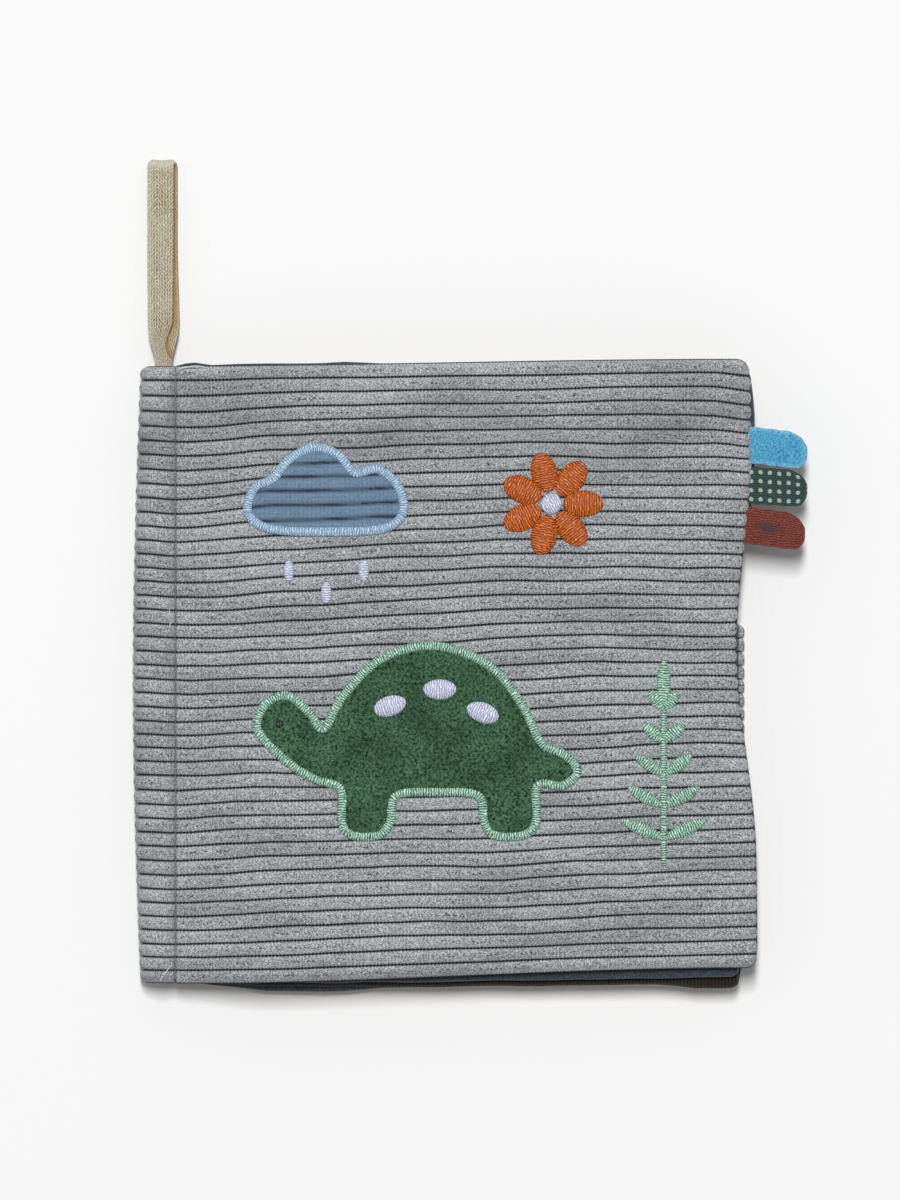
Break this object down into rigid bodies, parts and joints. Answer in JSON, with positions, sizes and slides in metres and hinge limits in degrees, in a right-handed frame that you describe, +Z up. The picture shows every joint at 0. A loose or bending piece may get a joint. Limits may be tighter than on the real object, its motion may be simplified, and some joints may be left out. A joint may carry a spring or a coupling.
{
  "type": "crinkle cloth book",
  "caption": "Soft square baby's cloth book, closed: wide-wale corduroy covers on a stitched spine, padded leaves, velvet applique, a cotton hang loop and small ribbon tabs at the fore edge.",
  "frame": {"origin": "middle of the back cover's flat underside, on the crowns of its cords", "axes": "+X from the spine to the fore edge, +Y to the head of the book, where the hang loop is, +Z up out of the front cover"},
  "size_m": [0.2159, 0.2677, 0.0266],
  "materials": {
    "corduroy": "wide-wale cotton corduroy, matt pile",
    "wadding": "polyester wadding, matt",
    "crinkle_film": "clear crinkle film, satin",
    "lining": "blue-grey velour, matt",
    "page_navy": "blue-grey velvet page cloth, matt",
    "page_brown": "dark brown fine-ribbed page cloth, matt",
    "page_tan": "tan page cloth, matt",
    "page_teal": "grey-teal page cloth, matt",
    "binding_thread": "grey sewing thread",
    "cotton_tape": "cream herringbone cotton tape, matt",
    "blue_felt": "bright blue felt, matt",
    "green_cotton": "dark green printed cotton, matt",
    "red_velvet": "red-brown velvet, matt",
    "green_velvet": "dark green velvet, matt",
    "mint_satin": "mint satin stitch, silky",
    "lilac_satin": "lilac satin stitch, silky",
    "blue_satin": "light blue satin stitch, silky",
    "blue_mesh": "blue mesh over corduroy, matt",
    "orange_satin": "orange satin stitch, silky",
    "dark_satin": "near-black satin stitch, silky"
  },
  "bodies": {
    "book_block": {"spine_wrap": "corduroy", "back_cover_margin": "lining", "leaf_3_margin": "page_tan", "leaf_2_margin": "page_brown", "leaf_1_margin": "page_navy", "front_cover_margin": "lining", "binding_thread": "binding_thread", "hang_loop_tail": "cotton_tape", "back_cover_corduroy": "corduroy", "back_cover_wadding": "wadding", "back_cover_film": "crinkle_film", "back_cover_lining": "lining"},
    "leaf_3": {"leaf_3_front_cloth": "page_navy", "leaf_3_film": "crinkle_film", "leaf_3_back_cloth": "page_tan"},
    "leaf_2": {"leaf_2_front_cloth": "page_brown", "leaf_2_film": "crinkle_film", "leaf_2_back_cloth": "page_tan"},
    "leaf_1": {"leaf_1_front_cloth": "page_navy", "leaf_1_film": "crinkle_film", "leaf_1_back_cloth": "page_teal"},
    "front_cover": {"front_cover_corduroy": "corduroy", "front_cover_wadding": "wadding", "front_cover_film": "crinkle_film", "front_cover_lining": "lining", "tortoise_velvet_patch": "green_velvet", "tortoise_satin_border": "mint_satin", "shell_spot_1": "lilac_satin", "shell_spot_2": "lilac_satin", "shell_spot_3": "lilac_satin", "tortoise_eye": "dark_satin", "cloud_mesh_patch": "blue_mesh", "cloud_satin_border": "blue_satin", "rain_stitch_1": "lilac_satin", "rain_stitch_2": "lilac_satin", "rain_stitch_3": "lilac_satin", "flower_petals": "orange_satin", "flower_bud": "lilac_satin", "fern_embroidery": "mint_satin"},
    "felt_tab": {"felt_tab": "blue_felt"},
    "printed_tab": {"printed_tab": "green_cotton"},
    "velvet_tab": {"velvet_tab": "red_velvet"},
    "hang_loop": {"hang_loop": "cotton_tape"}
  },
  "joints": [
    {"name": "leaf_3_hinge", "type": "hinge", "parent": "book_block", "child": "leaf_3", "pos_m": [-0.0864, 0, 0.01719], "axis": [0, 1, 0], "range_deg": [-58, 0]},
    {"name": "leaf_2_hinge", "type": "hinge", "parent": "leaf_3", "child": "leaf_2", "pos_m": [-0.0864, 0, 0.01719], "axis": [0, 1, 0], "range_deg": [-58, 0]},
    {"name": "leaf_1_hinge", "type": "hinge", "parent": "leaf_2", "child": "leaf_1", "pos_m": [-0.0864, 0, 0.01719], "axis": [0, 1, 0], "range_deg": [-58, 0]},
    {"name": "front_cover_hinge", "type": "hinge", "parent": "leaf_1", "child": "front_cover", "pos_m": [-0.0864, 0, 0.01719], "axis": [0, -1, 0], "range_deg": [0, 175]},
    {"name": "hang_loop_hinge", "type": "hinge", "parent": "book_block", "child": "hang_loop", "pos_m": [-0.091, 0.09975, 0.00746], "axis": [1, 0, 0], "range_deg": [0, 90]},
    {"name": "felt_tab_bend", "type": "hinge", "parent": "front_cover", "child": "felt_tab", "pos_m": [0.0996, 0.0728, 0.01952], "axis": [0, -1, 0], "range_deg": [-60, 60], "stiffness_Nm_per_rad": 0.002},
    {"name": "printed_tab_bend", "type": "hinge", "parent": "front_cover", "child": "printed_tab", "pos_m": [0.09957, 0.0599, 0.01952], "axis": [0, -1, 0], "range_deg": [-60, 60], "stiffness_Nm_per_rad": 0.002},
    {"name": "velvet_tab_bend", "type": "hinge", "parent": "front_cover", "child": "velvet_tab", "pos_m": [0.09887, 0.047, 0.01952], "axis": [0, -1, 0], "range_deg": [-60, 60], "stiffness_Nm_per_rad": 0.002}
  ]
}
